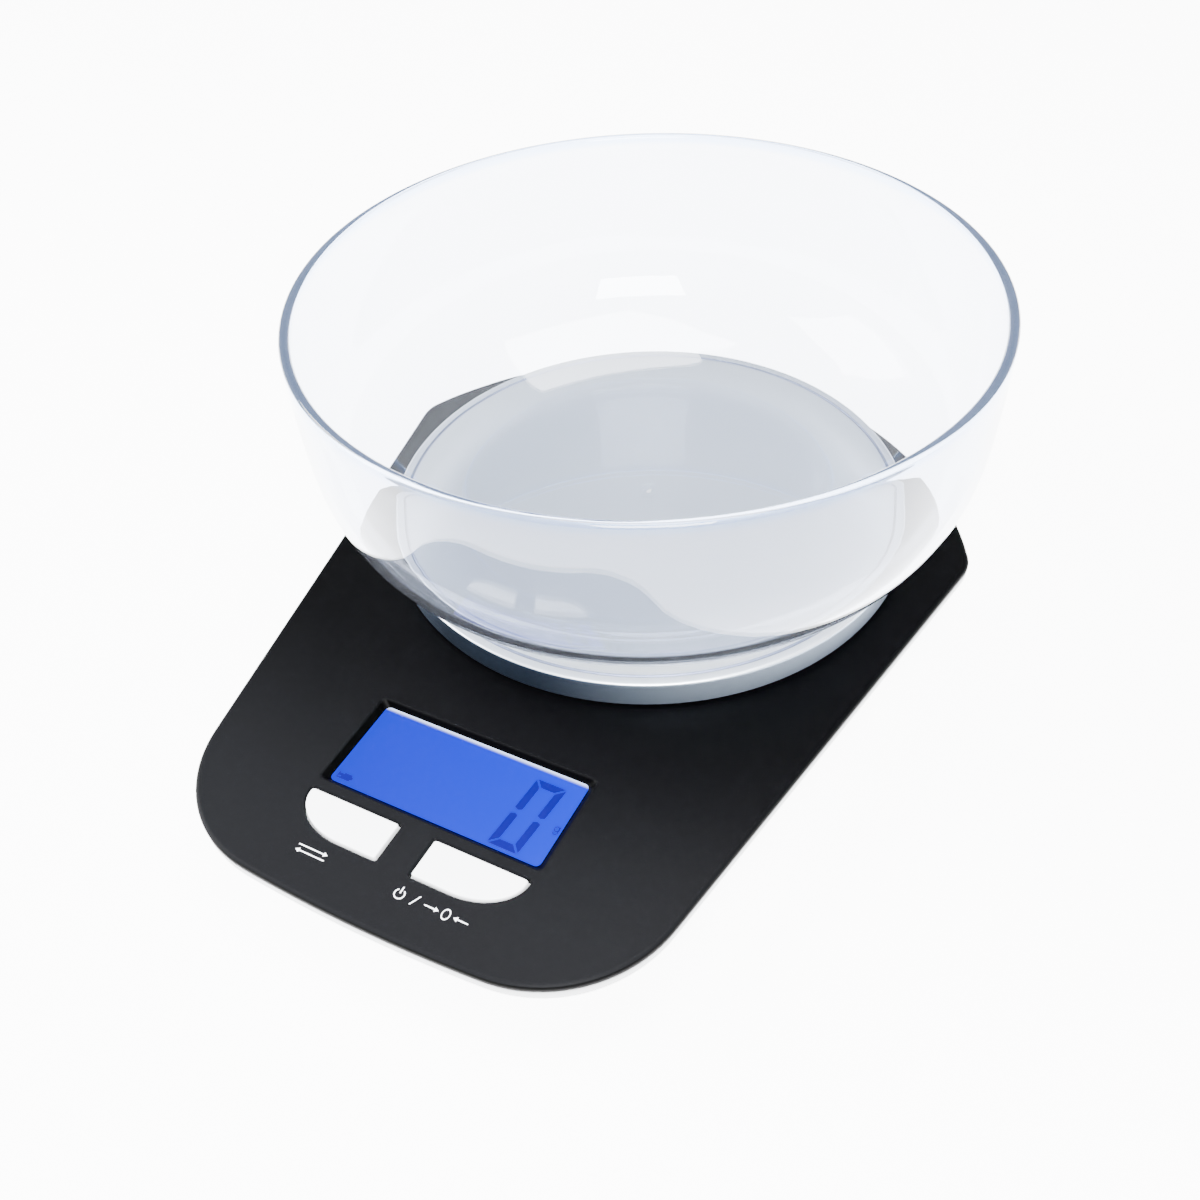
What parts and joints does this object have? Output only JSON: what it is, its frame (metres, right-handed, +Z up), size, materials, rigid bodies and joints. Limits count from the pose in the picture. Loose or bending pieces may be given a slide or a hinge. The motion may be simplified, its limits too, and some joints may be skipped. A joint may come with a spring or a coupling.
{
  "type": "kitchen scale",
  "caption": "Digital kitchen scale with a flat tapered black body, blue display window, white keys, round silver platform and lift-off clear bowl.",
  "frame": {"origin": "centre of the whole object's footprint box, on the table plane under the feet", "axes": "+Z up, +Y towards the platform end and away from the user, +X to the user's right; the display is at -Y"},
  "size_m": [0.174, 0.2294, 0.094],
  "materials": {
    "black_plastic": "fine satin texture",
    "white_plastic": "satin",
    "rubber": "matt",
    "steel": "bright plated",
    "battery_wrap": "shiny film",
    "aluminium": "machined",
    "sealant": "soft white sealant",
    "display_glass": "glossy, lit from behind",
    "light_guide": "diffusing",
    "grey_plastic": "matt",
    "board_green": "solder resist",
    "chip_resin": "black moulded",
    "wire_black": "insulated wire",
    "wire_red": "insulated wire",
    "silver_paint": "satin silver",
    "clear_plastic": "clear, blue-grey at its edges",
    "key_white": "satin pearl"
  },
  "bodies": {
    "base": {"top_cover": "black_plastic", "lower_shell": "white_plastic", "foot_front_left": "rubber", "foot_front_right": "rubber", "foot_back_left": "rubber", "foot_back_right": "rubber", "case_screw_front_left": "steel", "case_screw_front_right": "steel", "case_screw_back_left": "steel", "case_screw_back_right": "steel", "battery_front": "battery_wrap", "battery_back": "battery_wrap", "battery_spring_front": "steel", "battery_spring_back": "steel", "battery_contact_positive": "steel", "battery_contact_negative": "steel", "battery_contact_bridge": "steel", "load_cell": "aluminium", "strain_gauge_seal": "sealant", "cell_base_plate": "steel", "cell_base_screw_inner": "steel", "cell_base_screw_outer": "steel", "overload_stop": "steel", "display_glass": "display_glass", "backlight_guide": "light_guide", "backlight_lamp": "light_guide", "contact_strip": "rubber", "display_retainer": "grey_plastic", "circuit_board": "board_green", "board_screw_front_left": "steel", "board_screw_front_right": "steel", "board_screw_back_left": "steel", "board_screw_back_right": "steel", "chip_cover": "chip_resin", "clock_crystal": "steel", "capacitor": "chip_resin", "unit_switch": "chip_resin", "tare_switch": "chip_resin", "cell_cable": "wire_black", "battery_lead_red": "wire_red", "battery_lead_black": "wire_black"},
    "platform": {"platform_cover": "silver_paint", "platform_carrier": "grey_plastic", "platform_riser": "grey_plastic", "platform_screw_inner": "steel", "platform_screw_outer": "steel"},
    "bowl": {"bowl": "clear_plastic"},
    "unit_key": {"unit_key": "key_white", "unit_plunger": "grey_plastic"},
    "tare_key": {"tare_key": "key_white", "tare_plunger": "grey_plastic"},
    "battery_door": {"battery_door": "white_plastic"}
  },
  "joints": [
    {"name": "platform_slide", "type": "slide", "parent": "base", "child": "platform", "axis": [0, 0, -1], "range_m": [0, 0.0005], "stiffness_N_per_m": 30000, "springref_m": -0.0001, "deforming": ["load_cell"]},
    {"name": "bowl_lift", "type": "slide", "parent": "platform", "child": "bowl", "axis": [0, 0, 1], "range_m": [0, 0.12]},
    {"name": "unit_key_press", "type": "slide", "parent": "base", "child": "unit_key", "axis": [0, 0, -1], "range_m": [0, 0.0005], "stiffness_N_per_m": 400, "springref_m": -0.001},
    {"name": "tare_key_press", "type": "slide", "parent": "base", "child": "tare_key", "axis": [0, 0, -1], "range_m": [0, 0.0005], "stiffness_N_per_m": 400, "springref_m": -0.001},
    {"name": "battery_door_hinge", "type": "hinge", "parent": "base", "child": "battery_door", "pos_m": [0, -0.02775, 0.0037], "axis": [1, 0, 0], "range_deg": [0, 100]}
  ]
}
